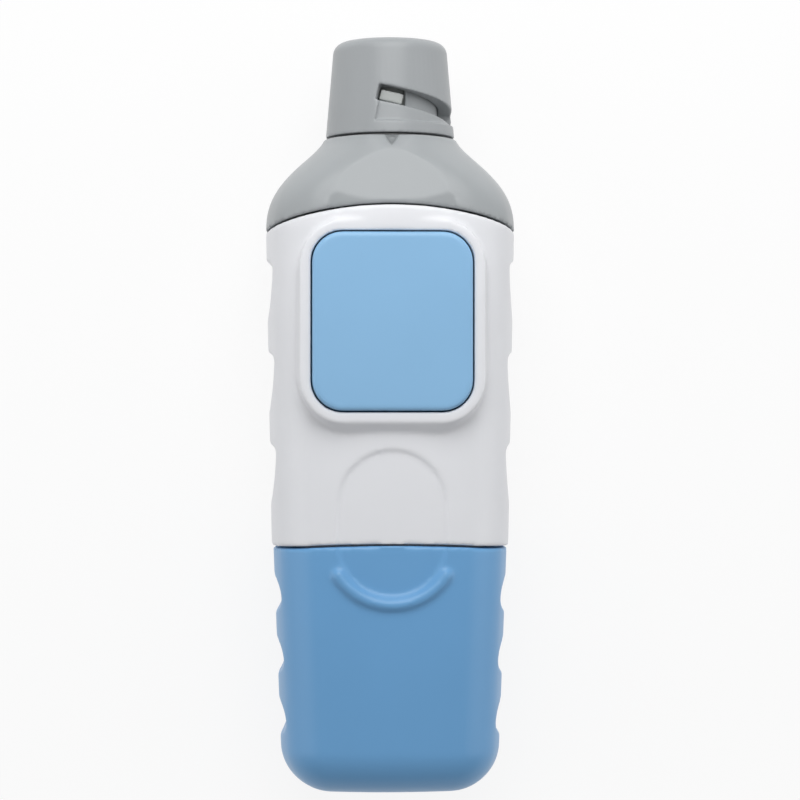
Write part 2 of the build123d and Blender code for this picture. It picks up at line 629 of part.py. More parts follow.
def cap_shoulder():
    reach = SHOULDER_TOP_Y - HOUSING_TOP_Y
    shell = body_form(0) - UNDER_CAP_GAP
    shell -= body_form(CAP_WALL, (CEILING_Y - HOUSING_TOP_Y) / reach)
    bore = BARREL_RADIUS + RUNNING_CLEARANCE
    shell += tube(CEILING_Y - SOCKET_LENGTH, CEILING_Y, bore + SOCKET_WALL, bore)
    shell += tube(CEILING_Y, NECK_TOP_Y, NECK_RADIUS)
    bead_y = NECK_TOP_Y - BEAD_DROP
    shell += AXIS * Pos(0, 0, bead_y) * Torus(NECK_RADIUS, BEAD_RADIUS)
    shell -= tube(CEILING_Y, NECK_TOP_Y, NECK_BORE_RADIUS)
    return shell - lug_slot() - shoulder_scoop() - shoulder_flat() - pointer_facet() - REST_PLANE_CUT


def dial_washer():
    inner = NECK_RADIUS + SEAT_CLEARANCE
    return tube(SHOULDER_TOP_Y, SHOULDER_TOP_Y + DIAL_WASHER_THICKNESS, inner + DIAL_WASHER_WIDTH,
                inner)


def dial_form(inset):
    """Outer cone of the dial, drawn in by an inset."""
    cone = Cone(DIAL_FOOT_RADIUS - inset, DIAL_TOP_RADIUS - inset, DIAL_LENGTH)
    rounded = fillet(cone.edges().sort_by(Axis.Z)[-1], DIAL_TOP_ROUND)
    return AXIS * Pos(0, 0, DIAL_FOOT_Y + DIAL_LENGTH / 2) * rounded


def depth_dial():
    last = LUG_HALF_ANGLE + DIAL_TURN + LUG_END_PLAY
    groove = BEAD_RADIUS + SEAT_CLEARANCE
    body = dial_form(0) - tube(DIAL_FOOT_Y, TIP_Y - DIAL_TOP_WALL, DIAL_BORE_RADIUS)
    body -= tube(DIAL_FOOT_Y, TIP_Y, NEEDLE_HOLE_RADIUS)
    body -= AXIS * Pos(0, 0, NECK_TOP_Y - BEAD_DROP) * Torus(NECK_RADIUS, groove)
    outside = DIAL_FOOT_RADIUS + WALL
    body -= helical_bar(DIAL_BORE_RADIUS - WALL, outside, SLOT_WIDTH, -SLOT_END_ANGLE, last)
    reach = SLOT_HEIGHT_ABOVE_FOOT
    step = helical_bar(DIAL_BORE_RADIUS, outside, reach, -SLOT_END_ANGLE, last, reach / 2)
    step = step & block(-BIG, BIG, DIAL_FOOT_Y + DIAL_LIP_LENGTH, BIG, -BIG, BIG)
    return body - (step - dial_form(DIAL_RECESS))


def depth_sleeve():
    top = TIP_Y - DIAL_TOP_WALL - SLEEVE_TOP_PLAY
    inner = SLEEVE_RADIUS - SLEEVE_WALL
    body = tube(top - SLEEVE_LENGTH, top, SLEEVE_RADIUS, inner)
    body += tube(top - SLEEVE_LIP_THICKNESS, top, SLEEVE_RADIUS, inner - SLEEVE_LIP)
    root = SLEEVE_RADIUS - SLEEVE_WALL / 2
    return body + helical_bar(root, LUG_RADIUS, LUG_WIDTH, -LUG_HALF_ANGLE, LUG_HALF_ANGLE,
                              LUG_DROP)


# Release button
def release_button():
    place = Pos(0, BUTTON_MID_Y, FLANGE_FOOT_Z)
    face = RectangleRounded(BUTTON_WIDTH, BUTTON_LENGTH, BUTTON_CORNER)
    height = SURROUND_TOP_Z + BUTTON_PROUD - FLANGE_FOOT_Z
    cap = extrude(face, height)
    cap = fillet(cap.edges().group_by(Axis.Z)[-1], BUTTON_EDGE_ROUND)
    wide = RectangleRounded(BUTTON_WIDTH + 2 * BUTTON_FLANGE, BUTTON_LENGTH + 2 * BUTTON_FLANGE,
                            BUTTON_CORNER)
    body = place * (cap + extrude(wide, BUTTON_FLANGE_THICKNESS))
    body -= place * extrude(Circle(BUTTON_RECESS_RADIUS), BUTTON_RECESS_DEPTH)
    tongue_z = BARREL_TOP_Z + BUTTON_TRAVEL + SLIDE_CLEARANCE
    post_top_y = LATCH_Y - STOP_CLEARANCE
    post_foot_y = post_top_y - POST_LENGTH
    half = TONGUE_WIDTH / 2
    body += block(-half, half, post_foot_y, BUTTON_FOOT_Y, tongue_z, tongue_z + TONGUE_THICKNESS)
    post_z = AXIS_HEIGHT + GUIDE_RADIUS + BUTTON_TRAVEL + SLIDE_CLEARANCE
    half = POST_WIDTH / 2
    return body + block(-half, half, post_foot_y, post_top_y, post_z, tongue_z)


# Handle with the yoke that it draws the plunger back by
BOSS_TOP_Y = HANDLE_FLOOR_Y + BOSS_HEIGHT
SCREW_X = ARM_OUTER_X + SCREW_HEAD_RADIUS + SLIDE_CLEARANCE
FOOT_TOP_Y = BOSS_TOP_Y + YOKE_FOOT_THICKNESS


def upright(x, foot, top, radius):
    """Round rod beside the axis."""
    return AXIS * Pos(x, 0, foot) * extrude(Circle(radius), top - foot)


def handle_ridge():
    """Raised crescent at the foot of the thumb pad, its ends lower with the crown."""
    half = RIDGE_SPAN / 2
    low = HANDLE_TOP_Y - RIDGE_DROP
    ends = low + RIDGE_BEND_RADIUS - math.sqrt(RIDGE_BEND_RADIUS ** 2 - half ** 2)
    z = AXIS_HEIGHT + FRONT_DEPTH_FOOT - THUMB_DEPTH + RIDGE_PROUD - RIDGE_RADIUS
    end_z = z - RIDGE_END_FALL
    path = ThreePointArc((-half, ends, end_z), (0, low, z), (half, ends, end_z))
    start = Plane(origin=path @ 0, z_dir=path % 0)
    ridge = sweep(start * Circle(RIDGE_RADIUS), path=path)
    for side in (-half, half):
        ridge += Pos(side, ends, end_z) * Sphere(RIDGE_RADIUS)
    return ridge


def cocking_handle():
    form = handle_form(0)
    form = fillet(form.edges().group_by(Axis.Y)[0], HANDLE_FOOT_ROUND)
    hollow = spigot(0, HANDLE_FLOOR_Y, HANDLE_TOP_Y + HANDLE_SEAM_RISE)
    hollow = fillet(hollow.edges().group_by(Axis.Y)[0], HANDLE_FLOOR_ROUND)
    shell = (form & UNDER_HANDLE_GAP) - (THUMB_COLUMN - handle_form(THUMB_DEPTH))
    first = HANDLE_TOP_Y - HANDLE_SCALLOP_FIRST
    for cutter in scallop_cutters(first, HANDLE_SCALLOPS, HANDLE_SCALLOP_PITCH,
                                  HANDLE_SCALLOP_LENGTH, HANDLE_SCALLOP_ENTRY,
                                  handle_half_width):
        shell -= cutter
    shell = shell + handle_ridge() - hollow - REST_PLANE_CUT
    for side in (-1, 1):
        boss = upright(side * SCREW_X, HANDLE_FLOOR_Y - HANDLE_FOOT_WALL / 2, BOSS_TOP_Y, BOSS_RADIUS)
        shell += boss & form
        shell -= upright(side * SCREW_X, BOSS_TOP_Y - BOSS_HEIGHT, BOSS_TOP_Y,
                         SCREW_RADIUS + SCREW_CLEARANCE)
    return shell


def cocking_yoke():
    bore = BARREL_RADIUS + SLIDE_CLEARANCE
    half = YOKE_ARM_WIDTH / 2
    body = tube(RING_FOOT_Y, RING_TOP_Y, YOKE_RING_RADIUS)
    body += block(-ARM_OUTER_X, ARM_OUTER_X, RING_FOOT_Y, RING_TOP_Y,
                  AXIS_HEIGHT - half, AXIS_HEIGHT + half)
    body -= tube(RING_FOOT_Y, RING_TOP_Y, bore)
    wide = YOKE_PLATE_WIDTH / 2
    plate = block(-ARM_OUTER_X, ARM_OUTER_X, PLATE_FOOT_Y, PLATE_TOP_Y,
                  AXIS_HEIGHT - wide, AXIS_HEIGHT + wide)
    body += plate - tube(PLATE_FOOT_Y, PLATE_TOP_Y, ROD_RADIUS + ROD_CLEARANCE)
    foot_end = SCREW_X + YOKE_FOOT_MARGIN
    for side in (-1, 1):
        arm = sorted((side * ARM_INNER_X, side * ARM_OUTER_X))
        body += block(*arm, BOSS_TOP_Y, RING_TOP_Y, AXIS_HEIGHT - half, AXIS_HEIGHT + half)
        foot = sorted((side * ARM_INNER_X, side * foot_end))
        body += block(*foot, BOSS_TOP_Y, FOOT_TOP_Y, AXIS_HEIGHT - half, AXIS_HEIGHT + half)
        body -= upright(side * SCREW_X, BOSS_TOP_Y, FOOT_TOP_Y, SCREW_RADIUS + SEAT_CLEARANCE)
    return body


def yoke_screws():
    screws = []
    for side in (-1, 1):
        shank = upright(side * SCREW_X, BOSS_TOP_Y - SCREW_BITE, FOOT_TOP_Y, SCREW_RADIUS)
        screws.append(shank + upright(side * SCREW_X, FOOT_TOP_Y, FOOT_TOP_Y + SCREW_HEAD_HEIGHT,
                                      SCREW_HEAD_RADIUS))
    return Compound(screws)


# Springs
def drive_spring():
    radius = GUIDE_RADIUS - SPRING_CLEARANCE - DRIVE_WIRE
    return coil(STUB_TOP_Y + SPRING_END_PLAY, DRIVE_SPRING_LENGTH - 2 * SPRING_END_PLAY, radius,
                DRIVE_WIRE, DRIVE_TURNS)


def return_spring():
    radius = ROD_RADIUS + SPRING_CLEARANCE + RETURN_WIRE
    length = WEB_FOOT_Y - FLANGE_TOP_Y - 2 * SPRING_END_PLAY
    return coil(FLANGE_TOP_Y + SPRING_END_PLAY, length, radius, RETURN_WIRE, RETURN_TURNS)


def handle_spring():
    radius = BARREL_RADIUS + SPRING_CLEARANCE + HANDLE_WIRE
    return coil(PLUG_TOP_Y + SPRING_END_PLAY, HANDLE_SPRING_LENGTH - 2 * SPRING_END_PLAY, radius,
                HANDLE_WIRE, HANDLE_TURNS)


def button_spring():
    foot = BARREL_TOP_Z + BUTTON_SPRING_SEAT + SPRING_END_PLAY
    length = FLANGE_FOOT_Z + BUTTON_RECESS_DEPTH - SPRING_END_PLAY - foot
    lying = coil(0, length, BUTTON_SPRING_RADIUS, BUTTON_WIRE, BUTTON_TURNS)
    return Pos(0, BUTTON_MID_Y, foot) * (AXIS.location.inverse() * lying)


FRONT_HOUSING, REAR_HOUSING = front_and_rear_housing()
PIECES = {
    "front_housing": FRONT_HOUSING,
    "rear_housing": REAR_HOUSING,
    "bulkhead": bulkhead(),
    "barrel": barrel(),
    "barrel_plug": barrel_plug(),
    "plunger": plunger(),
    "lancet_holder": lancet_holder(),
    "tail_collar": tail_collar(),
    "cap_shoulder": cap_shoulder(),
    "dial_washer": dial_washer(),
    "depth_dial": depth_dial(),
    "depth_sleeve": depth_sleeve(),
    "release_button": release_button(),
    "cocking_handle": cocking_handle(),
    "cocking_yoke": cocking_yoke(),
    "yoke_screws": yoke_screws(),
    "drive_spring": drive_spring(),
    "return_spring": return_spring(),
    "handle_spring": handle_spring(),
    "button_spring": button_spring(),
}

os.makedirs("parts", exist_ok=True)
for node, shape in PIECES.items():
    export_step(shape, f"parts/{node}.step")
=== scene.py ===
"""Dresses a lancing device that lies on its back: softened mouldings, finishes, wound springs, stage."""
import json
import math

import bmesh
import bpy
from mathutils import Matrix, Vector


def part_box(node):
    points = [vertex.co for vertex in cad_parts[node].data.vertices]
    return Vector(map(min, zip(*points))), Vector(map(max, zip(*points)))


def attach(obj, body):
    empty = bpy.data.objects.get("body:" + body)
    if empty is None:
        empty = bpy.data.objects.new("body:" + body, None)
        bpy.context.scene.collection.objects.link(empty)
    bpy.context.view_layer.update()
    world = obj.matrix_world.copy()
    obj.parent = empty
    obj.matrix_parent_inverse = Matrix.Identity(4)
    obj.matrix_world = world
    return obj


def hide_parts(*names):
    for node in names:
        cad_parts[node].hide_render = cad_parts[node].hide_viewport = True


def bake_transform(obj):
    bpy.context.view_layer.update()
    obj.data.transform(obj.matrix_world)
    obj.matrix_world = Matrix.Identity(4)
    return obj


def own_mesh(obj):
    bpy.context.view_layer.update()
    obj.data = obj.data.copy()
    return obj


bl_info = {
    "name": "Lancing Device Dresser",
    "version": (1, 0, 0),
    "blender": (4, 5, 0),
    "location": "View3D > Sidebar > Lancing",
    "description": "Finishes, soft edges, springs and a plain stage for a lancing device",
    "category": "Object",
}

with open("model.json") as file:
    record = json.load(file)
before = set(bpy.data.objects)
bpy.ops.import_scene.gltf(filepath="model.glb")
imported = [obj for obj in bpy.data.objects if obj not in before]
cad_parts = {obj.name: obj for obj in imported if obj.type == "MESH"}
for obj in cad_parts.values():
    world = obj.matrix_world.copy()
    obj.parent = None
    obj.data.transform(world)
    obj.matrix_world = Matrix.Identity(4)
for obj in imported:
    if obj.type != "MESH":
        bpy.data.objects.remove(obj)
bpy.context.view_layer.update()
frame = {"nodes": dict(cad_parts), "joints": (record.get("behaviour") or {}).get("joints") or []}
NODES = frame["nodes"]
JOINTS = {joint["name"]: joint for joint in frame["joints"]}
MM = 0.001
WHITE = (1.0, 1.0, 1.0, 1.0)

# Directions along the device and up out of the button
ALONG = (0, 1, 0)
UP = (0, 0, 1)

# Height of the device's long axis, where the plunger runs
AXIS_HEIGHT = sum(corner.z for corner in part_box("barrel_plug")) / 2

# How the edges of the mouldings are softened
WELD_DISTANCE = 0.001 * MM
SMOOTHING_FACTOR = 0.5
SMOOTHING_PASSES = 4

# Clouds in the pigment of the plastics, whose size is counted in grains
CLOUD_GRAINS = 40
CLOUD_DETAIL = 3.0
CLOUD_TINT = 0.03
CLOUD_ROUGHNESS = 0.05

# Fine texture that the mould leaves on the plastics, whose depth is a share of the grain
TEXTURE_DETAIL = 2.0
TEXTURE_ROUGHNESS = 0.08
TEXTURE_DEPTH = 0.03
TEXTURE_STRENGTH = 0.5
PLASTIC_IOR = 1.46

# Mottled sheen of the steel
STEEL_ROUGHNESS = 0.22
MOTTLE_SIZE = 0.12 * MM
MOTTLE_DETAIL = 2.0
MOTTLE_TINT = 0.12
MOTTLE_ROUGHNESS = 0.16

# Mesh of the springs' wire
WIRE_SIDES = 10
STEPS_IN_TURN = 28

# Stage
FLOOR_ROUGHNESS = 0.9
NEAREST_VIEW = 10 * MM


def colour_property(name, default):
    return bpy.props.FloatVectorProperty(
        name=name, description=f"{name}, as linear light", subtype="COLOR", size=3,
        min=0.0, max=1.0, default=default)


def length_property(name, description, millimetres):
    return bpy.props.FloatProperty(
        name=name, description=description, subtype="DISTANCE", unit="LENGTH", precision=5,
        default=millimetres * MM)


def factor_property(name, description, default):
    return bpy.props.FloatProperty(
        name=name, description=description, subtype="FACTOR", min=0.0, max=1.0, default=default)


def turns_property(name, description, default):
    return bpy.props.IntProperty(name=name, description=description, min=1, default=default)


class MouldingSettings(bpy.types.PropertyGroup):
    """Colours and surface of the moulded plastics, and how soft their edges are."""

    white: colour_property("White shell", (0.78, 0.79, 0.82))
    cap_grey: colour_property("Cap grey", (0.338, 0.358, 0.37))
    dial_grey: colour_property("Dial grey", (0.325, 0.342, 0.354))
    sleeve_grey: colour_property("Sleeve grey", (0.42, 0.44, 0.43))
    button_blue: colour_property("Button blue", (0.255, 0.485, 0.735))
    handle_blue: colour_property("Handle blue", (0.148, 0.368, 0.655))
    inner_white: colour_property("Inner natural", (0.78, 0.78, 0.76))
    inner_grey: colour_property("Inner grey", (0.42, 0.43, 0.45))
    washer_white: colour_property("Washer white", (0.80, 0.80, 0.80))
    # The pointer's darker share is painted shade, standing in for the shade in its engraved recess
    pointer_painted_shade: factor_property("Pointer shade", "Tone of the pointer, as a share of the cap's", 0.72)
    pointer_width: length_property("Pointer width", "Width of the pointer at the dial", 1.9)
    pointer_length: length_property("Pointer length", "Length of the pointer along the device", 1.56)
    roughness: factor_property("Roughness", "Roughness of the satin outer mouldings", 0.36)
    inner_roughness: factor_property("Inner roughness", "Roughness of the plain inner mouldings", 0.5)
    grain: length_property("Grain", "Size of the fine texture left by the mould", 0.22)
    shell_edge: length_property("Shell edge", "Softness of the edges of the large shells", 0.275)
    cap_edge: length_property("Cap edge", "Softness of the edges of the cap", 0.24)
    button_edge: length_property("Button edge", "Softness of the edges of the button", 0.20)
    dial_edge: length_property("Dial edge", "Softness of the edges of the dial", 0.15)
    inner_edge: length_property("Inner edge", "Softness of the edges of the inner mouldings", 0.25)


class SpringSettings(bpy.types.PropertyGroup):
    """How the coil springs are wound."""

    steel: colour_property("Spring steel", (0.55, 0.56, 0.58))
    closed_turns: bpy.props.FloatProperty(
        name="Closed turns", description="Turns that lie close at each end", min=0.5, default=0.75)
    drive_turns: turns_property("Drive turns", "Open turns of the drive spring", 8)
    return_turns: turns_property("Return turns", "Open turns of the return spring", 4)
    handle_turns: turns_property("Handle turns", "Open turns of the handle spring", 4)
    button_turns: turns_property("Button turns", "Open turns of the button spring", 2)
    drive_wire: length_property("Drive wire", "Wire thickness of the drive spring", 0.8)
    return_wire: length_property("Return wire", "Wire thickness of the return spring", 0.5)
    handle_wire: length_property("Handle wire", "Wire thickness of the handle spring", 0.66)
    button_wire: length_property("Button wire", "Wire thickness of the button spring", 0.44)


class StageSettings(bpy.types.PropertyGroup):
    """Floor, lamps and camera."""

    view_width: length_property("View width", "Width of the picture at the axis", 106.0)
    camera_distance: length_property("Camera distance", "Camera height above the axis", 320.0)
    camera_aside: length_property("Camera aside", "How far left of its aim the camera stands", 9.8)
    aim_x: length_property("Aim X", "Middle of the picture, across the device", 1.325)
    aim_y: length_property("Aim Y", "Middle of the picture, along the device", 1.954)
    floor_size: length_property("Floor size", "Side of the square floor", 16000.0)
    floor_colour: colour_property("Floor", (0.90, 0.90, 0.90))
    floor_glow: factor_property("Floor glow", "Share of plain white that the camera sees", 0.86)
    sky: factor_property("Sky", "Light level of the surroundings", 0.32)
    key_level: factor_property("Key level", "Light level of the lamp beyond the cap", 0.80)
    key_reach: length_property("Key reach", "How far off and how high the key lamp stands", 165.0)
    key_size: length_property("Key size", "Side of the square key lamp", 200.0)
    side_level: factor_property("Side level", "Light level of the lamp on either side", 0.2)
    side_reach: length_property("Side reach", "How far off each side lamp stands", 600.0)
    side_height: length_property("Side height", "How high each side lamp stands", 260.0)
    side_size: length_property("Side size", "Side of each square side lamp", 500.0)


class Signal:
    """A shader socket that takes part in arithmetic: each operation adds a Math node."""

    def __init__(self, finish, socket):
        self.finish = finish
        self.socket = socket

    def combine(self, operation, first, second):
        node = self.finish.node("ShaderNodeMath", {"operation": operation}, {0: first, 1: second})
        return Signal(self.finish, node.outputs[0])

    def __add__(self, other):
        return self.combine("ADD", self, other)

    def __sub__(self, other):
        return self.combine("SUBTRACT", self, other)

    def __rsub__(self, other):
        return self.combine("SUBTRACT", other, self)

    def __mul__(self, other):
        return self.combine("MULTIPLY", self, other)

    def larger(self, other):
        return self.combine("MAXIMUM", self, other)

    def above(self, other):
        """1 where the signal is greater, 0 elsewhere."""
        return self.combine("GREATER_THAN", self, other)

    def size(self):
        """The signal without its sign."""
        return self.larger(-1.0 * self)

    __radd__ = __add__
    __rmul__ = __mul__


class Finish:
    """A material in the making, with a Principled shader at its end."""

    def __init__(self, name):
        self.material = bpy.data.materials.new(name)
        self.material.use_nodes = True
        self.tree = self.material.node_tree
        self.shader = self.tree.nodes["Principled BSDF"]
        self.place = self.output("ShaderNodeTexCoord", {}, {}, "Object")

    def node(self, kind, settings, inputs):
        """Adds a node, sets it up, then gives its sockets values or links."""
        made = self.tree.nodes.new(kind)
        for name, value in settings.items():
            setattr(made, name, value)
        for name, value in inputs.items():
            self.feed(made.inputs[name], value)
        return made

    def output(self, kind, settings, inputs, name=0):
        return Signal(self, self.node(kind, settings, inputs).outputs[name])

    def feed(self, socket, value):
        if isinstance(value, Signal):
            self.tree.links.new(value.socket, socket)
        else:
            socket.default_value = value

    def set(self, **sockets):
        """Feeds the Principled shader, with spaces for the underscores of the names."""
        for name, value in sockets.items():
            self.feed(self.shader.inputs[name.replace("_", " ")], value)

    def noise(self, size, detail):
        """Noise from 0 to 1, around one half, whose features are about as large as the given size."""
        return self.output("ShaderNodeTexNoise", {}, {
            "Vector": self.place, "Scale": 1 / size, "Detail": detail}, "Fac")

    def tint(self, colour, share, strength):
        """The colour, made a little darker or lighter by a signal around one half."""
        dark = [channel * (1 - strength) for channel in colour] + [1.0]
        light = [min(channel * (1 + strength), 1.0) for channel in colour] + [1.0]
        return self.output("ShaderNodeMix", {"data_type": "RGBA"}, {
            "Factor": share, "A": dark, "B": light}, "Result")

    def axis(self, name):
        """Place along one of the device's axes."""
        return self.output("ShaderNodeSeparateXYZ", {}, {"Vector": self.place}, name)

    def shade(self, colour, mask, painted_shade_tone):
        """The colour, brought down to a share of itself where the mask is 1; it paints shade."""
        return self.output("ShaderNodeMix", {"data_type": "RGBA", "blend_type": "MULTIPLY"}, {
            "Factor": mask, "A": colour, "B": (painted_shade_tone, painted_shade_tone, painted_shade_tone, 1.0)}, "Result")

    def bump(self, height, depth, strength):
        return self.output("ShaderNodeBump", {}, {
            "Height": height, "Distance": depth, "Strength": strength}, "Normal")


def plastic(name, colour, roughness, grain, painted_shade_mask=None, painted_shade_tone=1.0):
    """Moulded plastic: faint clouds in the pigment and the fine texture of the mould.

    The shade mask is a function of the finish that gives 1 where painted shade darkens the plastic.
    """
    finish = Finish(name)
    cloud = finish.noise(CLOUD_GRAINS * grain, CLOUD_DETAIL)
    texture = finish.noise(grain, TEXTURE_DETAIL)
    base = finish.tint(colour, cloud, CLOUD_TINT)
    if painted_shade_mask:
        base = finish.shade(base, painted_shade_mask(finish), painted_shade_tone)
    finish.set(
        Base_Color=base,
        Roughness=roughness + TEXTURE_ROUGHNESS * (texture - 0.5) + CLOUD_ROUGHNESS * (cloud - 0.5),
        Normal=finish.bump(texture, grain * TEXTURE_DEPTH, TEXTURE_STRENGTH),
        IOR=PLASTIC_IOR,
    )
    return finish.material


def spring_steel(name, colour):
    """Drawn steel with a fine mottled sheen."""
    finish = Finish(name)
    mottle = finish.noise(MOTTLE_SIZE, MOTTLE_DETAIL)
    finish.set(
        Base_Color=finish.tint(colour, mottle, MOTTLE_TINT),
        Roughness=STEEL_ROUGHNESS + MOTTLE_ROUGHNESS * mottle,
        Metallic=1.0,
    )
    return finish.material


def cover(node, material):
    """Gives a CAD node one finish all over."""
    slots = NODES[node].data.materials
    slots.clear()
    slots.append(material)


def soften(node, edge):
    """Rounds the moulded edges of a CAD node, which keeps its own mesh below."""
    piece = NODES[node]
    weld = piece.modifiers.new("Weld", "WELD")
    weld.merge_threshold = WELD_DISTANCE
    remesh = piece.modifiers.new("Even skin", "REMESH")
    remesh.mode = "VOXEL"
    remesh.voxel_size = edge
    remesh.use_smooth_shade = True
    relax = piece.modifiers.new("Soft edges", "SMOOTH")
    relax.factor = SMOOTHING_FACTOR
    relax.iterations = SMOOTHING_PASSES


class LANCING_OT_housing(bpy.types.Operator):
    """White shells of the body, with softened edges"""

    bl_idname = "lancing.housing"
    bl_label = "Housing"

    def execute(self, context):
        look = context.scene.lancing_moulding
        shell = plastic("white_shell", look.white, look.roughness, look.grain)
        for node in ("front_housing", "rear_housing"):
            cover(node, shell)
            soften(node, look.shell_edge)
        return {"FINISHED"}


class LANCING_OT_cap(bpy.types.Operator):
    """Grey shoulder of the cap, its dial and the sleeve that the dial moves"""

    bl_idname = "lancing.cap"
    bl_label = "Cap and dial"

    def execute(self, context):
        look = context.scene.lancing_moulding
        seat_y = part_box("dial_washer")[0].y

        def pointer(finish):
            """Triangle at the dial's seat, on the front, that points at the button; it gets painted shade
            that stands in for the shade in the engraved pointer.
            """
            along = finish.axis("Y")
            half_width = (along - (seat_y - look.pointer_length)) * (
                look.pointer_width / 2 / look.pointer_length)
            inside = half_width.above(finish.axis("X").size())
            return inside * finish.axis("Z").above(AXIS_HEIGHT) * (seat_y - along).above(0.0)

        # The cap's grey gets painted shade on the engraved pointer
        grey = plastic("cap_grey", look.cap_grey, look.roughness, look.grain, pointer, look.pointer_painted_shade)
        cover("cap_shoulder", grey)
        soften("cap_shoulder", look.cap_edge)
        cover("depth_dial", plastic("dial_grey", look.dial_grey, look.roughness, look.grain))
        cover("depth_sleeve", plastic("sleeve_grey", look.sleeve_grey, look.roughness, look.grain))
        for node in ("depth_dial", "depth_sleeve"):
            soften(node, look.dial_edge)
        cover("dial_washer", plastic("washer_white", look.washer_white, look.inner_roughness, look.grain))
        return {"FINISHED"}


class LANCING_OT_button(bpy.types.Operator):
    """Pale blue release button"""

    bl_idname = "lancing.button"
    bl_label = "Release button"

    def execute(self, context):
        look = context.scene.lancing_moulding
        cover("release_button", plastic("button_blue", look.button_blue, look.roughness, look.grain))
        soften("release_button", look.button_edge)
        return {"FINISHED"}


class LANCING_OT_handle(bpy.types.Operator):
    """Blue pull handle"""

    bl_idname = "lancing.handle"
    bl_label = "Cocking handle"

    def execute(self, context):
        look = context.scene.lancing_moulding
        cover("cocking_handle", plastic("handle_blue", look.handle_blue, look.roughness, look.grain))
        soften("cocking_handle", look.shell_edge)
        return {"FINISHED"}


class LANCING_OT_inner(bpy.types.Operator):
    """Barrel, plunger and the other plain mouldings inside"""

    bl_idname = "lancing.inner"
    bl_label = "Inner mouldings"

    def execute(self, context):
        look = context.scene.lancing_moulding
        white = plastic("inner_white", look.inner_white, look.inner_roughness, look.grain)
        grey = plastic("inner_grey", look.inner_grey, look.inner_roughness, look.grain)
        for node in ("bulkhead", "barrel", "barrel_plug"):
            cover(node, white)
        for node in ("plunger", "lancet_holder", "tail_collar", "cocking_yoke"):
            cover(node, grey)
        for node in ("bulkhead", "barrel", "cocking_yoke"):
            soften(node, look.inner_edge)
        soften("lancet_holder", look.dial_edge)
        return {"FINISHED"}


def wound_wire(length, radius, wire, closed_turns, open_turns):
    """Round wire wound up the local Z axis, with turns that lie close at both ends."""
    bm = bmesh.new()
    start = Matrix.Translation((radius, 0, wire / 2)) @ Matrix.Rotation(math.pi / 2, 4, "X")
    bmesh.ops.create_circle(bm, segments=WIRE_SIDES, radius=wire / 2, matrix=start)
    ring = list(bm.verts) + list(bm.edges)
    closed_climb = closed_turns * wire
    open_climb = length - wire - 2 * closed_climb
    for turns, climb in ((closed_turns, closed_climb), (open_turns, open_climb),
                         (closed_turns, closed_climb)):
        steps = round(turns * STEPS_IN_TURN)
        ring = bmesh.ops.spin(
            bm, geom=ring, cent=(0, 0, 0), axis=UP, dvec=(0, 0, climb / steps),
            angle=2 * math.pi * turns, steps=steps)["geom_last"]
    bmesh.ops.holes_fill(bm, edges=bm.edges, sides=WIRE_SIDES)
    bmesh.ops.recalc_face_normals(bm, faces=bm.faces)
    for face in bm.faces:
        face.smooth = True
    return bm


def wind(node, material, wire, closed_turns, open_turns, upright=False):
    """Wound spring in the place of a CAD spring, along the device or upright.

    Gives the spring, the middle of its lower end and its length.
    """
    low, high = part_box(node)
    foot = (low + high) / 2
    if upright:
        foot.z = low.z
        length, turn = high.z - low.z, Matrix.Identity(4)
    else:
        foot.y = low.y
        length, turn = high.y - low.y, Matrix.Rotation(-math.pi / 2, 4, "X")
    bm = wound_wire(length, (high.x - low.x - wire) / 2, wire, closed_turns, open_turns)
    bmesh.ops.transform(bm, matrix=Matrix.Translation(foot) @ turn, verts=bm.verts)
    mesh = bpy.data.meshes.new(f"wound_{node}")
    bm.to_mesh(mesh)
    bm.free()
    mesh.materials.append(material)
    spring = bpy.data.objects.new(f"wound_{node}", mesh)
    bpy.context.scene.collection.objects.link(spring)
    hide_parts(node)
    return spring, foot, length


def compress(spring, foot, length, joint, axis):
    """Hangs a spring on the housing and gives it a mesh of its own; the share it would shorten to is worked
    out but not used.
    """
    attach(spring, "housing")
    travel = max(abs(limit) for limit in JOINTS[joint]["range_m"])
    1 - travel / length
    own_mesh(spring)


def stretch(spring, foot, length):
    """Bakes the placing of a spring whose foot stands on the plunger's flange into its mesh."""
    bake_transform(spring)


class LANCING_OT_springs(bpy.types.Operator):
    """Steel coil springs with closed ends, and the steel screws"""

    bl_idname = "lancing.springs"
    bl_label = "Springs and screws"

    def execute(self, context):
        coils = context.scene.lancing_springs
        steel = spring_steel("spring_steel", coils.steel)
        cover("yoke_screws", steel)
        closed = coils.closed_turns
        drive = wind("drive_spring", steel, coils.drive_wire, closed, coils.drive_turns)
        compress(*drive, "plunger_stroke", ALONG)
        handle = wind("handle_spring", steel, coils.handle_wire, closed, coils.handle_turns)
        compress(*handle, "handle_pull", ALONG)
        button = wind("button_spring", steel, coils.button_wire, closed, coils.button_turns, True)
        compress(*button, "button_press", UP)
        stretch(*wind("return_spring", steel, coils.return_wire, closed, coils.return_turns))
        return {"FINISHED"}


def lamp(name, place, target, size, level):
    """Square soft lamp that brings a white surface facing it to about the given level."""
    light = bpy.data.lights.new(name, "AREA")
    light.size = size
    reach = (target - place).length
    light.energy = level * (math.pi * reach) ** 2
    holder = bpy.data.objects.new(name, light)
    holder.location = place
    holder.rotation_euler = (target - place).to_track_quat("-Z", "Y").to_euler()
    bpy.context.scene.collection.objects.link(holder)


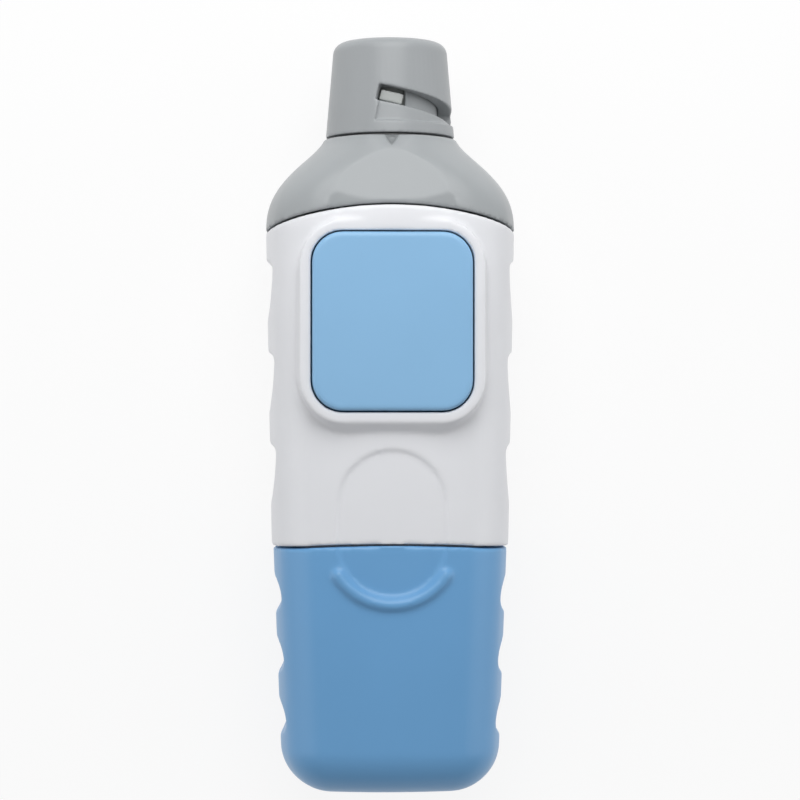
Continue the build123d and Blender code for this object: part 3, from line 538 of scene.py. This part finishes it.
class LANCING_OT_stage(bpy.types.Operator):
    """Pale floor, soft lamps and a camera that looks down on the device"""

    bl_idname = "lancing.stage"
    bl_label = "Stage"

    def execute(self, context):
        stage = context.scene.lancing_stage
        self.make_floor(stage)
        self.make_sky(context.scene, stage)
        self.make_lamps(stage)
        self.make_camera(context.scene, stage)
        context.scene.view_settings.view_transform = "Standard"
        return {"FINISHED"}

    def make_floor(self, stage):
        mesh = bpy.data.meshes.new("floor")
        bm = bmesh.new()
        bmesh.ops.create_grid(bm, x_segments=1, y_segments=1, size=stage.floor_size / 2)
        bm.to_mesh(mesh)
        bm.free()
        floor = bpy.data.objects.new("floor", mesh)
        bpy.context.scene.collection.objects.link(floor)
        finish = Finish("pale_floor")
        finish.set(Base_Color=(*stage.floor_colour, 1.0), Roughness=FLOOR_ROUGHNESS)
        glow = finish.output("ShaderNodeEmission", {}, {"Color": WHITE, "Strength": 1.0})
        rays = finish.node("ShaderNodeLightPath", {}, {})
        camera, glossy, through = (
            Signal(finish, rays.outputs[f"Is {kind} Ray"]) for kind in ("Camera", "Glossy", "Transmission"))
        blend = finish.output("ShaderNodeMixShader", {}, {
            0: stage.floor_glow * camera.larger(glossy).larger(through),
            1: Signal(finish, finish.shader.outputs[0]), 2: glow})
        finish.feed(finish.tree.nodes["Material Output"].inputs["Surface"], blend)
        mesh.materials.append(finish.material)

    def make_sky(self, scene, stage):
        world = bpy.data.worlds.new("studio")
        world.use_nodes = True
        background = world.node_tree.nodes["Background"]
        background.inputs["Color"].default_value = WHITE
        background.inputs["Strength"].default_value = stage.sky
        scene.world = world

    def make_lamps(self, stage):
        middle = Vector((0, 0, AXIS_HEIGHT))
        key_place = middle + Vector((0, stage.key_reach, stage.key_reach))
        lamp("key", key_place, middle, stage.key_size, stage.key_level)
        for name, side in (("left", -1), ("right", 1)):
            place = middle + Vector((side * stage.side_reach, 0, stage.side_height))
            lamp(name, place, middle, stage.side_size, stage.side_level)

    def make_camera(self, scene, stage):
        lens = bpy.data.cameras.new("camera")
        lens.lens = lens.sensor_width * stage.camera_distance / stage.view_width
        lens.clip_start = NEAREST_VIEW
        camera = bpy.data.objects.new("camera", lens)
        aim = Vector((stage.aim_x, stage.aim_y, AXIS_HEIGHT))
        camera.location = aim + Vector((-stage.camera_aside, 0, stage.camera_distance))
        camera.rotation_euler.y = -math.atan2(stage.camera_aside, stage.camera_distance)
        scene.collection.objects.link(camera)
        scene.camera = camera


STEPS = (LANCING_OT_housing, LANCING_OT_cap, LANCING_OT_button, LANCING_OT_handle,
         LANCING_OT_inner, LANCING_OT_springs, LANCING_OT_stage)


class LANCING_PT_panel(bpy.types.Panel):
    """Lists the steps and their settings in the sidebar"""

    bl_label = "Lancing device"
    bl_space_type = "VIEW_3D"
    bl_region_type = "UI"
    bl_category = "Lancing"

    def draw(self, context):
        for step in STEPS:
            self.layout.operator(step.bl_idname)
        for name in GROUPS:
            box = self.layout.box()
            settings = getattr(context.scene, name)
            for prop in settings.bl_rna.properties:
                if not prop.is_readonly and prop.identifier != "name":
                    box.prop(settings, prop.identifier)


GROUPS = {
    "lancing_moulding": MouldingSettings,
    "lancing_springs": SpringSettings,
    "lancing_stage": StageSettings,
}
CLASSES = (*GROUPS.values(), *STEPS, LANCING_PT_panel)


def register():
    for cls in CLASSES:
        bpy.utils.register_class(cls)
    for name, group in GROUPS.items():
        setattr(bpy.types.Scene, name, bpy.props.PointerProperty(type=group))


def unregister():
    for name in GROUPS:
        delattr(bpy.types.Scene, name)
    for cls in reversed(CLASSES):
        bpy.utils.unregister_class(cls)


def main():
    register()
    for step in STEPS:
        group, name = step.bl_idname.split(".")
        getattr(getattr(bpy.ops, group), name)()


if __name__ == "__main__":
    main()
